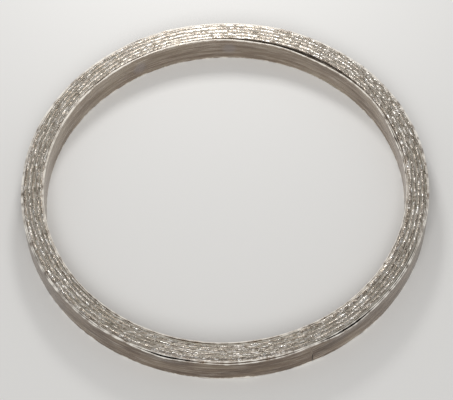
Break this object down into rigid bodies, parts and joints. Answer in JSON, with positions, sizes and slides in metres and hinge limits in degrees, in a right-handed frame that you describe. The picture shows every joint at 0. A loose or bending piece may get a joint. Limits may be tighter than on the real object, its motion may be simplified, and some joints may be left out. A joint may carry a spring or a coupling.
{
  "type": "exhaust gasket",
  "caption": "Flat ring gasket for an exhaust joint, wound from a steel strip and a mica filler strip between two steel bands, with an open bore and flat sealing faces.",
  "frame": {"origin": "centre of the lower sealing face, on the bore's axis", "axes": "+Z along the bore's axis, from the lower sealing face to the upper one; -Y towards the side shown in front, where the strip's seam lies"},
  "size_m": [0.072, 0.072, 0.0056],
  "materials": {
    "steel": "thin rolled stainless strip, satin, with small rub marks and slightly wavy edges",
    "filler": "pressed mica and vermiculite, olive grey, speckled, with small bright flakes"
  },
  "bodies": {
    "root": {"bore_band": "steel", "steel_strip": "steel", "filler_strip": "filler", "rim_band": "steel"}
  },
  "joints": []
}
